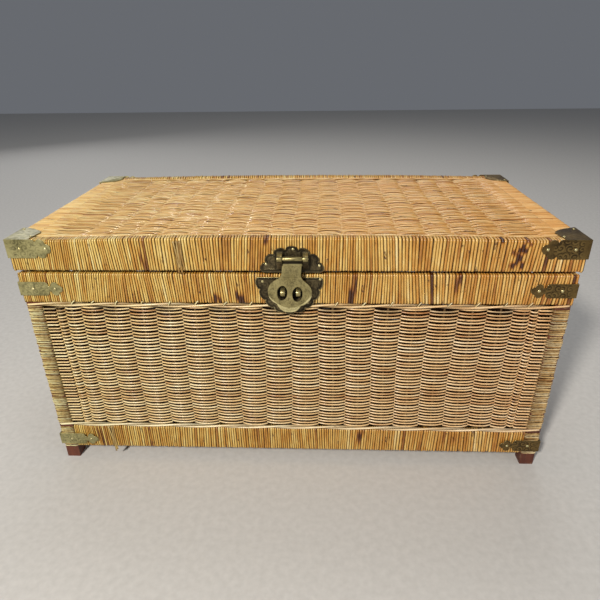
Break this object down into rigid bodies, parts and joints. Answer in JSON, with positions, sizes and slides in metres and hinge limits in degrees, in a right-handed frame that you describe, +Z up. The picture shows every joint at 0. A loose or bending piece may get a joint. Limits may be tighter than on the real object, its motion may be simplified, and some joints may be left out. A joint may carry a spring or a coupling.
{
  "type": "wicker storage trunk",
  "caption": "Rectangular woven reed storage trunk with wrapped rails, a hinged flat lid, brass corner straps and a hasp over staples for a padlock.",
  "frame": {"origin": "on the floor under the middle of the object's box, which takes in the hasp's staples in front and the hinges behind", "axes": "+Z up, +X along the length to the right seen from the front, and the front with the hasp faces -Y"},
  "size_m": [0.9, 0.471, 0.445],
  "materials": {
    "wrapped_reed": "thin round reed wrapped side by side, lightly varnished, golden tan to orange brown",
    "woven_reed": "round reed in plain weave, lightly varnished, pale honey",
    "stained_wood": "square posts with a worn red-brown stain",
    "plain_wood": "unfinished board and bars",
    "aged_brass": "thin pressed sheet with an engraved scroll, dull olive-brown patina, brighter on worn edges"
  },
  "bodies": {
    "trunk_body": {"post_front_left": "stained_wood", "post_front_right": "stained_wood", "post_rear_left": "stained_wood", "post_rear_right": "stained_wood", "top_rail_front": "wrapped_reed", "top_rail_rear": "wrapped_reed", "top_rail_left": "wrapped_reed", "top_rail_right": "wrapped_reed", "bottom_rail_front": "wrapped_reed", "bottom_rail_rear": "wrapped_reed", "bottom_rail_left": "wrapped_reed", "bottom_rail_right": "wrapped_reed", "woven_wall_front": "woven_reed", "woven_wall_rear": "woven_reed", "woven_wall_left": "woven_reed", "woven_wall_right": "woven_reed", "floor_board": "plain_wood", "floor_bearer_left": "plain_wood", "floor_bearer_middle": "plain_wood", "floor_bearer_right": "plain_wood", "upper_strap_front_left": "aged_brass", "upper_strap_front_right": "aged_brass", "upper_strap_rear_left": "aged_brass", "upper_strap_rear_right": "aged_brass", "lower_strap_front_left": "aged_brass", "lower_strap_front_right": "aged_brass", "lower_strap_rear_left": "aged_brass", "lower_strap_rear_right": "aged_brass", "catch_plate": "aged_brass", "staple_left": "aged_brass", "staple_right": "aged_brass", "hinge_left_body_leaf": "aged_brass", "hinge_left_pin": "aged_brass", "hinge_right_body_leaf": "aged_brass", "hinge_right_pin": "aged_brass"},
    "lid": {"lid_rail_front": "wrapped_reed", "lid_rail_rear": "wrapped_reed", "lid_rail_left": "wrapped_reed", "lid_rail_right": "wrapped_reed", "lid_woven_top": "woven_reed", "lid_rib_left": "plain_wood", "lid_rib_middle": "plain_wood", "lid_rib_right": "plain_wood", "lid_corner_front_left": "aged_brass", "lid_corner_front_right": "aged_brass", "lid_corner_rear_left": "aged_brass", "lid_corner_rear_right": "aged_brass", "lid_hasp_plate": "aged_brass", "hasp_pin": "aged_brass", "hinge_left_lid_leaf": "aged_brass", "hinge_right_lid_leaf": "aged_brass"},
    "hasp": {"hasp": "aged_brass"}
  },
  "joints": [
    {"name": "lid_hinge", "type": "hinge", "parent": "trunk_body", "child": "lid", "pos_m": [0, 0.2319, 0.3885], "axis": [-1, 0, 0], "range_deg": [0, 110]},
    {"name": "hasp_hinge", "type": "hinge", "parent": "lid", "child": "hasp", "pos_m": [0.0015, -0.2265, 0.4178], "axis": [-1, 0, 0], "range_deg": [0, 195]}
  ]
}
